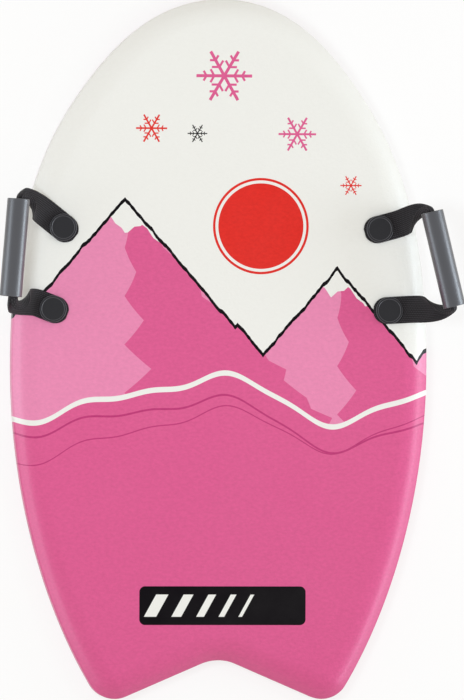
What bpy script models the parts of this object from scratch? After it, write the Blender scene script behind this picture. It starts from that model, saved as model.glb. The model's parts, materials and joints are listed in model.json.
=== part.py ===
"""Foam sliding board for snow, with a fishtail and two webbing grab handles.

The board lies flat on its slick base. +Y points to the nose, +X to the rider's right, +Z up.
The origin is on the centre line at half the board's length, on the underside of the base.
Lengths are in metres and angles in degrees.
"""

import math

import bmesh
import bpy
from mathutils import Matrix, Vector

# Outline of the board, seen from above
BOARD_LENGTH = 0.850
BOARD_WIDTH = 0.508
WIDEST_FROM_NOSE = 0.444
SHOULDER_FROM_NOSE = 0.1227
SHOULDER_FROM_WIDEST = 0.0766
SHOULDER_ANGLE = 56.5
NOSE_CURVE_SHARES = (0.379, 0.360)
SHOULDER_CURVE_SHARES = (0.343, 0.342)
TAIL_TIP_FROM_WIDEST = 0.1275
TAIL_TIP_RADIUS = 0.034
TAIL_FLARE_ANGLE = 30.6
TAIL_SIDE_SHARES = (0.400, 0.284)
NOTCH_DEPTH = 0.047
NOTCH_RADIUS = 0.053

# Section of the board and its rail
BOARD_THICKNESS = 0.040
CHAMFER_WIDTH = 0.018
CHAMFER_HEIGHT = 0.016
DECK_CREASE_RADIUS = 0.014
RAIL_CORNER_RADIUS = 0.006
SKIN_THICKNESS = 0.002
BASE_THICKNESS = 0.0016
BASE_EDGE_INSET = 0.0006
ROCKER_LENGTH = 0.200
NOSE_RISE = 0.018

# Gap kept between faces that touch on the real board
TOUCH_GAP = 0.0003

# Places of the four handle anchors, inwards from the widest edge and back from the nose
FRONT_ANCHOR_FROM_WIDEST = 0.0607
FRONT_ANCHOR_FROM_NOSE = 0.2778
REAR_ANCHOR_FROM_WIDEST = 0.0487
REAR_ANCHOR_FROM_NOSE = 0.3767

# Cap that clamps the webbing, with the post that screws into the base nut
CAP_DIAMETER = 0.033
CAP_THICKNESS = 0.0032
CAP_EDGE_RADIUS = 0.0009
CAP_RIM_WIDTH = 0.0016
CAP_DISH_DEPTH = 0.0005
POST_DIAMETER = 0.008
POST_RUNNING_GAP = 0.0003

# Nut let into the base, under each cap
NUT_FLANGE_DIAMETER = 0.030
NUT_FLANGE_THICKNESS = 0.0018
NUT_FLANGE_RECESS = 0.0006
NUT_BARREL_DIAMETER = 0.014
NUT_BORE_FLOOR = 0.004
NUT_BELOW_SKIN = 0.001

# Webbing strap
WEBBING_WIDTH = 0.033
WEBBING_THICKNESS = 0.0017
WEBBING_OVERRUN = 0.0188
WEBBING_FLAT_RUN = 0.0175
WEBBING_LIFT_RUN = 0.0315
WEBBING_TURN_RUN = 0.0218
WEBBING_MOUTH_RUN = 0.0010
WEBBING_TWIST = 133.4
WEBBING_HOLE_GAP = 0.0004
WEBBING_END_START_SHARE = 0.30
WEBBING_CURL_SHARE_POWER = 3.3

# Tube grip that the webbing runs through
GRIP_LENGTH = 0.118
GRIP_DIAMETER = 0.0272
GRIP_WALL = 0.0041
GRIP_EDGE_BREAK = 0.0006
GRIP_BORE_GAP = 0.0006

# How each handle stands: grip centre from the middle of its anchor line, and turn in plan
LEFT_GRIP_OUTBOARD = 0.0596
LEFT_GRIP_FORWARD = 0.0166
LEFT_GRIP_ABOVE_DECK = 0.055
LEFT_GRIP_YAW = -2.4
RIGHT_GRIP_OUTBOARD = 0.0668
RIGHT_GRIP_FORWARD = 0.0049
RIGHT_GRIP_ABOVE_DECK = 0.048
RIGHT_GRIP_YAW = 6.7

# The swing axis of a handle lies this far outboard of its caps
SWING_AXIS_PAST_CAP = 0.003

# Counts of steps round curves
NOSE_STEPS = 12
SHOULDER_STEPS = 12
SIDE_STEPS = 11
TIP_STEPS = 7
NOTCH_STEPS = 4
CREASE_STEPS = 2
CORNER_STEPS = 2
ROCKER_STRIPS = 8
ROUND_STEPS = 28
HOLE_STEPS = 24
WEB_END_STEPS = 5
WEB_FLAT_STEPS = 2
WEB_LEG_STEPS = 14
WEB_TUBE_STEPS = 6
WEB_SECTION_STEPS = 8

# Overrun of a cutter past the faces that it cuts through
CUT_OVERRUN = 0.003

# Places worked out from the sizes above
HALF_LENGTH = BOARD_LENGTH / 2
HALF_WIDTH = BOARD_WIDTH / 2
DECK_HEIGHT = BOARD_THICKNESS
CORE_DEPTH = SKIN_THICKNESS + TOUCH_GAP
CORE_BOTTOM = BASE_THICKNESS + TOUCH_GAP
WEB_BOTTOM = DECK_HEIGHT + TOUCH_GAP
WEB_MIDDLE = WEB_BOTTOM + WEBBING_THICKNESS / 2
CAP_BOTTOM = WEB_BOTTOM + WEBBING_THICKNESS + TOUCH_GAP
NUT_FLANGE_TOP = NUT_FLANGE_RECESS + NUT_FLANGE_THICKNESS
NUT_TOP = DECK_HEIGHT - SKIN_THICKNESS - NUT_BELOW_SKIN
POCKET_ROOF = NUT_FLANGE_TOP + TOUCH_GAP
POCKET_RADIUS = NUT_FLANGE_DIAMETER / 2 + TOUCH_GAP
BARREL_HOLE_RADIUS = NUT_BARREL_DIAMETER / 2 + TOUCH_GAP
POST_HOLE_RADIUS = POST_DIAMETER / 2 + POST_RUNNING_GAP
POST_END = NUT_FLANGE_TOP + NUT_BORE_FLOOR + POST_RUNNING_GAP
BORE_RADIUS = GRIP_DIAMETER / 2 - GRIP_WALL
CURL_RADIUS = BORE_RADIUS - GRIP_BORE_GAP - WEBBING_THICKNESS / 2
CURL_ANGLE = WEBBING_WIDTH / CURL_RADIUS

MATERIALS = {
    "skin_film": ((0.871, 0.863, 0.823), 0.42, 0.0),
    "foam": ((0.855, 0.855, 0.840), 0.90, 0.0),
    "slick_sheet": ((0.610, 0.070, 0.245), 0.22, 0.0),
    "cap_plastic": ((0.017, 0.017, 0.022), 0.38, 0.0),
    "webbing": ((0.027, 0.025, 0.030), 0.85, 0.0),
    "grip_plastic": ((0.093, 0.100, 0.130), 0.34, 0.0),
}


def clear_scene():
    """Remove whatever the scene already holds."""
    for old in list(bpy.data.objects):
        bpy.data.objects.remove(old, do_unlink=True)


def make_materials():
    """One Principled material for each finish."""
    for name, (colour, roughness, metallic) in MATERIALS.items():
        material = bpy.data.materials.new(name)
        material.use_nodes = True
        shader = material.node_tree.nodes["Principled BSDF"]
        shader.inputs["Base Color"].default_value = (*colour, 1.0)
        shader.inputs["Roughness"].default_value = roughness
        shader.inputs["Metallic"].default_value = metallic
        material.diffuse_color = (*colour, 1.0)


def add_object(name, bm, material, origin=Vector(), turn=None, parent=None, sharp_angle=35.0):
    """Turn a bmesh in local coordinates into a named, placed and shaded object."""
    bmesh.ops.recalc_face_normals(bm, faces=bm.faces)
    mesh = bpy.data.meshes.new(name)
    bm.to_mesh(mesh)
    bm.free()
    mesh.materials.append(bpy.data.materials[material])
    mesh.shade_smooth()
    mesh.set_sharp_from_angle(angle=math.radians(sharp_angle))
    thing = bpy.data.objects.new(name, mesh)
    bpy.context.collection.objects.link(thing)
    place = Matrix.Translation(origin)
    if turn is not None:
        place = place @ turn.to_4x4()
    if parent is not None:
        thing.parent = parent
        place = parent.matrix_basis.inverted() @ place
    thing.matrix_basis = place
    return thing


def add_guide(name, origin, turn=None):
    """An empty that marks a joint's axis, along its own Z."""
    empty = bpy.data.objects.new(name, None)
    empty.hide_render = True
    bpy.context.collection.objects.link(empty)
    empty.matrix_basis = Matrix.Translation(origin) @ (turn or Matrix.Identity(3)).to_4x4()
    return empty


def boolean(thing, cutter, operation):
    """Cut or join with the exact solver."""
    modifier = thing.modifiers.new(cutter.name, "BOOLEAN")
    modifier.object = cutter
    modifier.operation = operation
    modifier.solver = "EXACT"


def hide_guide(thing):
    """Mark a cutter or a joined form, so that it isn't a piece of its own."""
    thing.hide_render = True
    thing.display_type = "WIRE"
    return thing


def bezier(start, start_handle, end_handle, end, steps):
    """Points along a cubic curve, without its last point."""
    points = []
    for i in range(steps):
        t = i / steps
        u = 1 - t
        points.append(
            start * u**3
            + start_handle * (3 * u * u * t)
            + end_handle * (3 * u * t * t)
            + end * t**3
        )
    return points


def arc(centre, radius, first, last, steps):
    """Points on an arc from angle first to angle last, both included."""
    points = []
    for i in range(steps + 1):
        angle = first + (last - first) * i / steps
        points.append(centre + radius * Vector((math.cos(angle), math.sin(angle))))
    return points


def direction(angle):
    """Unit vector in plan at an angle from +X, in radians."""
    return Vector((math.cos(angle), math.sin(angle)))


def half_outline():
    """The right half of the outline, from the nose round to the notch."""
    nose = Vector((0, HALF_LENGTH))
    shoulder = Vector((HALF_WIDTH - SHOULDER_FROM_WIDEST, HALF_LENGTH - SHOULDER_FROM_NOSE))
    widest = Vector((HALF_WIDTH, HALF_LENGTH - WIDEST_FROM_NOSE))
    sideways = Vector((1, 0))
    tailward = Vector((0, -1))
    falling = direction(-math.radians(SHOULDER_ANGLE))

    chord = (shoulder - nose).length
    first, second = NOSE_CURVE_SHARES
    points = bezier(
        nose,
        nose + sideways * first * chord,
        shoulder - falling * second * chord,
        shoulder,
        NOSE_STEPS,
    )
    chord = (widest - shoulder).length
    first, second = SHOULDER_CURVE_SHARES
    points += bezier(
        shoulder,
        shoulder + falling * first * chord,
        widest - tailward * second * chord,
        widest,
        SHOULDER_STEPS,
    )

    tip_centre = Vector((HALF_WIDTH - TAIL_TIP_FROM_WIDEST, TAIL_TIP_RADIUS - HALF_LENGTH))
    flare = -math.radians(TAIL_FLARE_ANGLE)
    tip_start = tip_centre + TAIL_TIP_RADIUS * direction(flare)
    into_tip = direction(flare - math.pi / 2)
    run = widest.y - tip_start.y
    first, second = TAIL_SIDE_SHARES
    points += bezier(
        widest,
        widest + tailward * first * run,
        tip_start - into_tip * second * run,
        tip_start,
        SIDE_STEPS,
    )

    # The straight tail edge touches the tip's circle below and the notch's circle above
    notch_centre = Vector((0, NOTCH_DEPTH - HALF_LENGTH - NOTCH_RADIUS))
    across = notch_centre - tip_centre
    opening = math.acos((TAIL_TIP_RADIUS + NOTCH_RADIUS) / across.length)
    touch = math.atan2(across.y, across.x) + opening
    points += arc(tip_centre, TAIL_TIP_RADIUS, flare, touch, TIP_STEPS)
    points += arc(notch_centre, NOTCH_RADIUS, touch + math.pi, math.pi / 2, NOTCH_STEPS)
    return points


def board_outline():
    """The closed outline, clockwise from the nose as seen from above."""
    right = half_outline()
    left = [Vector((-p.x, p.y)) for p in reversed(right[1:-1])]
    return right + left


def inset_outline(points, inset):
    """The outline moved inwards, square to its edges."""
    moved = []
    for i, point in enumerate(points):
        before = (point - points[i - 1]).normalized()
        after = (points[(i + 1) % len(points)] - point).normalized()
        along = (before + after).normalized()
        inward = Vector((along.y, -along.x))
        moved.append(point + inward * (inset / along.dot(after)))
    return moved


def rail_profile(depth):
    """Inset and height down the rail from the deck, for the outer face moved in by depth."""
    slope = math.atan2(CHAMFER_HEIGHT, CHAMFER_WIDTH)
    steep = math.pi / 2 - slope
    crease = Vector((
        CHAMFER_WIDTH + DECK_CREASE_RADIUS * math.tan(slope / 2),
        BOARD_THICKNESS - DECK_CREASE_RADIUS,
    ))
    corner = Vector((
        RAIL_CORNER_RADIUS,
        BOARD_THICKNESS - CHAMFER_HEIGHT - RAIL_CORNER_RADIUS * math.tan(steep / 2),
    ))
    upright = math.pi / 2
    rings = arc(crease, DECK_CREASE_RADIUS - depth, upright, upright + slope, CREASE_STEPS)
    rings += arc(corner, RAIL_CORNER_RADIUS - depth, upright + slope, math.pi, CORNER_STEPS)
    return [(ring.x, ring.y) for ring in rings]


def rocker(y):
    """How far the board is lifted at y, towards its nose."""
    past = y - (HALF_LENGTH - ROCKER_LENGTH)
    return NOSE_RISE * (max(past, 0) / ROCKER_LENGTH) ** 2


def loft_board(name, rings, material):
    """A layer of the board: rings of inset and height joined in turn, closed at both ends."""
    outline = board_outline()
    bm = bmesh.new()
    loops = []
    for inset, height in rings:
        points = inset_outline(outline, inset)
        loops.append([bm.verts.new((p.x, p.y, height)) for p in points])
    count = len(outline)
    for above, below in zip(loops, loops[1:]):
        for i in range(count):
            k = (i + 1) % count
            bm.faces.new((above[i], above[k], below[k], below[i]))
    bm.faces.new(loops[0])
    bm.faces.new(list(reversed(loops[-1])))

    # Cut the flat faces into strips across the nose, then lift them into the rocker's curve
    for i in range(ROCKER_STRIPS):
        y = HALF_LENGTH - ROCKER_LENGTH * (1 - i / ROCKER_STRIPS)
        bmesh.ops.bisect_plane(
            bm,
            geom=bm.verts[:] + bm.edges[:] + bm.faces[:],
            dist=TOUCH_GAP / 100,
            plane_co=(0, y, 0),
            plane_no=(0, 1, 0),
        )
    for vert in bm.verts:
        vert.co.z += rocker(vert.co.y)
    return add_object(name, bm, material)


def turned(name, profile, material, origin, steps, turn=None, parent=None):
    """A solid of revolution about its own Z, from (radius, height) points."""
    bm = bmesh.new()
    verts = [bm.verts.new((radius, 0, height)) for radius, height in profile]
    edges = [bm.edges.new(pair) for pair in zip(verts, verts[1:])]
    if profile[0][0] > 0:
        edges.append(bm.edges.new((verts[-1], verts[0])))
    bmesh.ops.spin(
        bm,
        geom=verts + edges,
        cent=(0, 0, 0),
        axis=(0, 0, 1),
        angle=2 * math.pi,
        steps=steps,
        use_merge=True,
    )
    bmesh.ops.remove_doubles(bm, verts=bm.verts, dist=TOUCH_GAP / 100)
    return add_object(name, bm, material, origin, turn, parent)


def rounded_corner(centre_radius, centre_height, radius, first, last):
    """Points (radius, height) round a corner of a turned profile."""
    centre = Vector((centre_radius, centre_height))
    return [tuple(p) for p in arc(centre, radius, first, last, CORNER_STEPS)]


def make_cap(name, place):
    """Domed-edge disc with a dished face and the post under it."""
    rim = CAP_DIAMETER / 2
    top = CAP_BOTTOM + CAP_THICKNESS
    dish = rim - CAP_EDGE_RADIUS - CAP_RIM_WIDTH
    profile = [
        (0, POST_END),
        (POST_DIAMETER / 2 - CAP_DISH_DEPTH, POST_END),
        (POST_DIAMETER / 2, POST_END + CAP_DISH_DEPTH),
        (POST_DIAMETER / 2, CAP_BOTTOM),
        (rim, CAP_BOTTOM),
    ]
    profile += rounded_corner(
        rim - CAP_EDGE_RADIUS, top - CAP_EDGE_RADIUS, CAP_EDGE_RADIUS, 0, math.pi / 2
    )
    profile += [(dish, top), (dish - CAP_DISH_DEPTH, top - CAP_DISH_DEPTH)]
    profile.append((0, top - CAP_DISH_DEPTH))
    return turned(name, profile, "cap_plastic", place, ROUND_STEPS)


def make_nut(name, place):
    """Flanged nut, open at the top for the cap's post."""
    profile = [
        (0, NUT_FLANGE_RECESS),
        (NUT_FLANGE_DIAMETER / 2, NUT_FLANGE_RECESS),
        (NUT_FLANGE_DIAMETER / 2, NUT_FLANGE_TOP),
        (NUT_BARREL_DIAMETER / 2, NUT_FLANGE_TOP),
        (NUT_BARREL_DIAMETER / 2, NUT_TOP),
        (POST_HOLE_RADIUS, NUT_TOP),
        (POST_HOLE_RADIUS, NUT_FLANGE_TOP + NUT_BORE_FLOOR),
        (0, NUT_FLANGE_TOP + NUT_BORE_FLOOR),
    ]
    return turned(name, profile, "cap_plastic", place, ROUND_STEPS)


def round_bar(name, radius, bottom, top, place):
    """A plain cylinder, kept as a cutter or a form to join."""
    bm = bmesh.new()
    bmesh.ops.create_cone(
        bm,
        cap_ends=True,
        segments=HOLE_STEPS,
        radius1=radius,
        radius2=radius,
        depth=top - bottom,
        matrix=Matrix.Translation((0, 0, (top + bottom) / 2)),
    )
    return hide_guide(add_object(name, bm, "foam", place))


def make_board(anchors):
    """The foam core, the skin that wraps it and the slick base, holed for the anchors."""
    profile = rail_profile(CORE_DEPTH)
    core = loft_board("foam_core", profile + [(CORE_DEPTH, CORE_BOTTOM)], "foam")

    outside = rail_profile(0) + [(0, CORE_BOTTOM)]
    inside = rail_profile(SKIN_THICKNESS) + [(SKIN_THICKNESS, CORE_BOTTOM)]
    skin = loft_board("deck_skin", outside + list(reversed(inside)), "skin_film")

    sheet = [(BASE_EDGE_INSET, BASE_THICKNESS), (BASE_EDGE_INSET, 0)]
    base = loft_board("slick_base", sheet, "slick_sheet")

    pocket_top = POCKET_ROOF + BASE_THICKNESS
    shell_radius = POCKET_RADIUS + BASE_THICKNESS
    above = DECK_HEIGHT + CUT_OVERRUN
    for name, spot in anchors.items():
        place = Vector((spot.x, spot.y, 0))
        shell = round_bar(
            f"{name}_pocket_shell", shell_radius, BASE_THICKNESS / 2, pocket_top, place
        )
        hollow = round_bar(f"{name}_pocket", POCKET_RADIUS, -CUT_OVERRUN, POCKET_ROOF, place)
        barrel = round_bar(f"{name}_barrel_hole", BARREL_HOLE_RADIUS, -CUT_OVERRUN, above, place)
        post = round_bar(f"{name}_post_hole", POST_HOLE_RADIUS, NUT_TOP, above, place)
        seat = round_bar(
            f"{name}_shell_seat", shell_radius + TOUCH_GAP, 0, pocket_top + TOUCH_GAP, place,
        )
        boolean(base, shell, "UNION")
        boolean(base, hollow, "DIFFERENCE")
        boolean(base, barrel, "DIFFERENCE")
        boolean(core, seat, "DIFFERENCE")
        boolean(core, barrel, "DIFFERENCE")
        boolean(skin, post, "DIFFERENCE")


def smooth_step(share):
    """0 to 1 with a gentle start and end."""
    return share * share * (3 - 2 * share)


def end_stations():
    """Distance from the strap's cut end and share of its width, round the end."""
    first = math.asin(WEBBING_END_START_SHARE)
    radius = WEBBING_WIDTH / 2
    stations = []
    for i in range(WEB_END_STEPS + 1):
        angle = first + (math.pi / 2 - first) * i / WEB_END_STEPS
        stations.append((radius * (math.cos(first) - math.cos(angle)), math.sin(angle)))
    return stations


def leg_stations(anchor, mouth, out, hand):
    """One leg of the strap, from its cut end to the tube's mouth.

    out points out of the tube at this mouth, and hand is the sign of the leg's twist.
    Each station is (point, face normal, share of curl, share of width).
    """
    foot = Vector((anchor.x, anchor.y, WEB_MIDDLE))
    way = Vector((mouth.x - anchor.x, mouth.y - anchor.y, 0)).normalized()
    up = Vector((0, 0, 1))
    end = foot - way * WEBBING_OVERRUN
    stations = [(end + way * run, up, 0, width) for run, width in end_stations()]
    rounded = (stations[-1][0] - foot).dot(way)
    for i in range(1, WEB_FLAT_STEPS):
        run = rounded + (WEBBING_FLAT_RUN - rounded) * i / WEB_FLAT_STEPS
        stations.append((foot + way * run, up, 0, 1))

    lift = foot + way * WEBBING_FLAT_RUN
    turn = mouth + out * WEBBING_MOUTH_RUN
    route = bezier(
        lift, lift + way * WEBBING_LIFT_RUN, turn + out * WEBBING_TURN_RUN, turn, WEB_LEG_STEPS
    )
    route += [turn, mouth]

    normal = up
    tangent = way
    twist_done = 0
    for i, point in enumerate(route):
        onward = route[min(i + 1, len(route) - 1)] - route[max(i - 1, 0)]
        if i == 0:
            onward = way
        onward = onward.normalized()
        normal = tangent.rotation_difference(onward).to_matrix() @ normal
        tangent = onward
        share = smooth_step(min(i / WEB_LEG_STEPS, 1))
        twist = math.radians(WEBBING_TWIST) * hand * share
        normal = Matrix.Rotation(twist - twist_done, 3, tangent) @ normal
        twist_done = twist
        stations.append((point, normal.copy(), share**WEBBING_CURL_SHARE_POWER, 1))
    return stations


def tube_stations(front, rear):
    """The run inside the tube, between the two mouths, which are left out."""
    start, start_normal = front[-1][0], front[-1][1]
    end, end_normal = rear[-1][0], rear[-1][1]
    axis = (end - start).normalized()
    turn = math.atan2(start_normal.cross(end_normal).dot(axis), start_normal.dot(end_normal))
    stations = []
    for i in range(1, WEB_TUBE_STEPS):
        share = i / WEB_TUBE_STEPS
        normal = Matrix.Rotation(turn * share, 3, axis) @ start_normal
        stations.append((start.lerp(end, share), normal, 1, 1))
    return stations


def strap_ring(bm, point, normal, tangent, curl, width_share):
    """One closed ring of the strap's section, flat at the cap and curled in the tube."""
    normal = (normal - tangent * normal.dot(tangent)).normalized()
    across = tangent.cross(normal)
    half = WEBBING_WIDTH * width_share / 2
    middle = point - normal * (CURL_RADIUS * curl)
    faces = []
    for side in (1, -1):
        row = []
        for i in range(WEB_SECTION_STEPS + 1):
            place = half * (2 * i / WEB_SECTION_STEPS - 1)
            angle = curl * CURL_ANGLE * place / WEBBING_WIDTH
            if curl > 0:
                radius = place / angle if angle else 0
                spot = middle + across * radius * math.sin(angle)
                spot += normal * radius * (1 - math.cos(angle))
            else:
                spot = middle + across * place
            face = normal * math.cos(angle) - across * math.sin(angle)
            row.append(spot + face * side * WEBBING_THICKNESS / 2)
        faces.append(row)
    return [bm.verts.new(spot) for spot in faces[0] + list(reversed(faces[1]))]


def make_strap(name, front, rear, anchors, parent):
    """The whole webbing strap, lofted through both legs and the tube, holed for the posts."""
    stations = front + tube_stations(front, rear) + list(reversed(rear))
    bm = bmesh.new()
    rings = []
    for i, (point, normal, curl, width_share) in enumerate(stations):
        before = stations[max(i - 1, 0)][0]
        after = stations[min(i + 1, len(stations) - 1)][0]
        tangent = (after - before).normalized()
        rings.append(strap_ring(bm, point, normal, tangent, curl, width_share))
    count = len(rings[0])
    for ring, onward in zip(rings, rings[1:]):
        for i in range(count):
            k = (i + 1) % count
            bm.faces.new((ring[i], ring[k], onward[k], onward[i]))
    bm.faces.new(rings[0])
    bm.faces.new(list(reversed(rings[-1])))
    origin = parent.matrix_basis.translation
    bmesh.ops.translate(bm, verts=bm.verts, vec=-origin)
    strap = add_object(name, bm, "webbing", origin, None, parent)
    hole = POST_DIAMETER / 2 + WEBBING_HOLE_GAP
    for end, spot in anchors.items():
        place = Vector((spot.x, spot.y, 0))
        low = WEB_BOTTOM - CUT_OVERRUN
        high = CAP_BOTTOM + CUT_OVERRUN
        boolean(strap, round_bar(f"{name}_{end}_hole", hole, low, high, place), "DIFFERENCE")


def make_grip(name, centre, turn, parent):
    """Plain tube grip with broken edges."""
    half = GRIP_LENGTH / 2
    outer = GRIP_DIAMETER / 2
    profile = [
        (BORE_RADIUS, GRIP_EDGE_BREAK - half),
        (BORE_RADIUS + GRIP_EDGE_BREAK, -half),
        (outer - GRIP_EDGE_BREAK, -half),
        (outer, GRIP_EDGE_BREAK - half),
        (outer, half - GRIP_EDGE_BREAK),
        (outer - GRIP_EDGE_BREAK, half),
        (BORE_RADIUS + GRIP_EDGE_BREAK, half),
        (BORE_RADIUS, half - GRIP_EDGE_BREAK),
    ]
    return turned(name, profile, "grip_plastic", centre, ROUND_STEPS, turn, parent)


def make_handle(name, side, front, rear, outboard, forward, above_deck, yaw):
    """One grab handle: its swing axis, its strap and its tube grip."""
    line = (front - rear).normalized()
    outward = Vector((side * line.y, -side * line.x))
    middle = (front + rear) / 2
    hinge = middle + outward * (CAP_DIAMETER / 2 + SWING_AXIS_PAST_CAP)
    hinge = Vector((hinge.x, hinge.y, WEB_MIDDLE))
    upright = Vector((0, 0, 1))
    line_turn = upright.rotation_difference(Vector((line.x, line.y, 0))).to_matrix()
    swing = add_guide(f"{name}_swing_axis", hinge, line_turn)

    centre = middle + outward * outboard + line * forward
    centre = Vector((centre.x, centre.y, DECK_HEIGHT + above_deck))
    axis = Vector((line.x, line.y, 0))
    axis = Matrix.Rotation(math.radians(yaw) * side, 3, "Z") @ axis
    grip_turn = upright.rotation_difference(axis).to_matrix()
    make_grip(f"{name}_grip_tube", centre, grip_turn, swing)

    legs = []
    for end, spot in ((1, front), (-1, rear)):
        out = axis * end
        mouth = centre + out * GRIP_LENGTH / 2
        legs.append(leg_stations(spot, mouth, out, -side * end))
    make_strap(f"{name}_webbing", legs[0], legs[1], {"front": front, "rear": rear}, swing)


def main():
    """Model the whole board."""
    clear_scene()
    make_materials()
    anchors = {}
    for side_name, side in (("left", -1), ("right", 1)):
        for end_name, from_widest, from_nose in (
            ("front", FRONT_ANCHOR_FROM_WIDEST, FRONT_ANCHOR_FROM_NOSE),
            ("rear", REAR_ANCHOR_FROM_WIDEST, REAR_ANCHOR_FROM_NOSE),
        ):
            spot = Vector((side * (HALF_WIDTH - from_widest), HALF_LENGTH - from_nose))
            anchors[f"{side_name}_{end_name}"] = spot
    make_board(anchors)
    for name, spot in anchors.items():
        place = Vector((spot.x, spot.y, 0))
        make_cap(f"{name}_cap", place)
        make_nut(f"{name}_base_nut", place)
    make_handle(
        "left", -1, anchors["left_front"], anchors["left_rear"],
        LEFT_GRIP_OUTBOARD, LEFT_GRIP_FORWARD, LEFT_GRIP_ABOVE_DECK, LEFT_GRIP_YAW,
    )
    make_handle(
        "right", 1, anchors["right_front"], anchors["right_rear"],
        RIGHT_GRIP_OUTBOARD, RIGHT_GRIP_FORWARD, RIGHT_GRIP_ABOVE_DECK, RIGHT_GRIP_YAW,
    )


main()
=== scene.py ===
"""Foam sliding board with two webbing grab handles: finished pieces, print and studio.

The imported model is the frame. Every piece here is in metres in that same frame: +Y points to the
nose, +X to the rider's right and +Z up, with the origin on the underside of the slick base.
"""

import json
import math
import bmesh
import bpy
from mathutils import Matrix, Vector


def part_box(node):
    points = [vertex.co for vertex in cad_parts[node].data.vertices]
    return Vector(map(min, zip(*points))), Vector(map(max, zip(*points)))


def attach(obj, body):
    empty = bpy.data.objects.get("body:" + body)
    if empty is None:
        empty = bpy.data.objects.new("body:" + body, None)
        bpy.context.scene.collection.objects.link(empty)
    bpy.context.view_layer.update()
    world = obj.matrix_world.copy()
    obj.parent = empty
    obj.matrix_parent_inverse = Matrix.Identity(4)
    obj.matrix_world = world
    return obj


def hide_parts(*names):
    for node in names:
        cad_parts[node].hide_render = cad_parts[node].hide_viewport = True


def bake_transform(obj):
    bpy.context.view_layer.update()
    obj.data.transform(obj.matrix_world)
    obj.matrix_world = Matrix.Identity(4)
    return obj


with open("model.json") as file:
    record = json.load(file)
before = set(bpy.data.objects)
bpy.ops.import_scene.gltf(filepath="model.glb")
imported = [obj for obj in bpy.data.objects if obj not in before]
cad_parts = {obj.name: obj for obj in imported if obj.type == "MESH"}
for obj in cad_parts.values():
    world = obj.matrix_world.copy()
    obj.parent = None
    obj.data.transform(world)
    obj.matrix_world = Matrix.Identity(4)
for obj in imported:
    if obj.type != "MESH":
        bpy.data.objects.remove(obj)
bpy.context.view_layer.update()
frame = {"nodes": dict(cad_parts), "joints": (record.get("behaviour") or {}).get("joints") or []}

bl_info = {
    "name": "Foam Sliding Board",
    "version": (1, 0, 0),
    "blender": (4, 5, 0),
    "location": "View3D > Sidebar > Sliding Board",
    "description": "Dresses a foam sliding board with its printed skin, straps, grips and studio",
    "category": "Add Mesh",
}

SKIN_LOW, SKIN_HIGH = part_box("deck_skin")
JOINTS = {joint["name"]: joint for joint in frame["joints"]}

# How far each handle of a curve reaches, as a share of the curve's chord
NOSE_CURVE_SHARES = (0.379, 0.360)
SHOULDER_CURVE_SHARES = (0.343, 0.342)
TAIL_SIDE_SHARES = (0.400, 0.284)

# Counts of steps round curves
NOSE_STEPS = 44
SHOULDER_STEPS = 44
SIDE_STEPS = 44
TIP_STEPS = 28
NOTCH_STEPS = 16
RAIL_SEGMENTS = 10
ROCKER_STRIPS = 24
ROUND_STEPS = 96
NUT_SLOT_STEPS = 4
ARC_STEPS = 6
STRAP_END_STEPS = 10
STRAP_FLAT_STEPS = 4
STRAP_LEG_STEPS = 56
STRAP_TUBE_STEPS = 12
STRAP_ACROSS_STEPS = 16

# How each leg of a strap runs from the deck into its tube: its aim away from the tube's mouth in
# degrees, how far it goes on before it turns, how wide it turns into the tube, its twist in
# degrees, and how late it twists and curls up
STRAP_LEGS = {
    "left_front": (8.0, 0.024, 0.005, 104.0, 1.3, 2.3),
    "left_rear": (-6.0, 0.020, 0.016, 106.0, 1.4, 2.4),
    "right_front": (-5.0, 0.022, 0.004, 95.0, 1.4, 1.4),
    "right_rear": (0.0, 0.026, 0.003, 100.0, 1.8, 1.4),
}

# Near enough to be the same place, and how soft the print's edges are
SAME_PLACE = 0.00001
PRINT_EDGE = 0.0003

# Angles in degrees past which an edge stays sharp
SHARP = 40.0
FILM_SHARP = 75.0
FASTENER_SHARP = 30.0
WEBBING_SHARP = 80.0
WEBBING_SOFTENED = 60.0

CORNERS = ("left_front", "left_rear", "right_front", "right_rear")


def size(name, description, default, least=0):
    """A length that the user can change."""
    return bpy.props.FloatProperty(
        name=name, description=description, default=default, min=least, precision=4, unit="LENGTH"
    )


def turn(name, description, default):
    """An angle that the user can change, given here in degrees."""
    return bpy.props.FloatProperty(
        name=name, description=description, default=math.radians(default), unit="ROTATION"
    )


def number(name, description, default):
    """A plain number that the user can change."""
    return bpy.props.FloatProperty(name=name, description=description, default=default)


def tint(name, description, red, green, blue):
    """A colour that the user can change, given here as the 0 to 255 values seen on a screen."""
    linear = []
    for value in (red, green, blue):
        share = value / 255
        linear.append(share / 12.92 if share <= 0.04045 else ((share + 0.055) / 1.055) ** 2.4)
    return bpy.props.FloatVectorProperty(
        name=name, description=description, default=linear, min=0, max=1, size=3, subtype="COLOR"
    )


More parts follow.
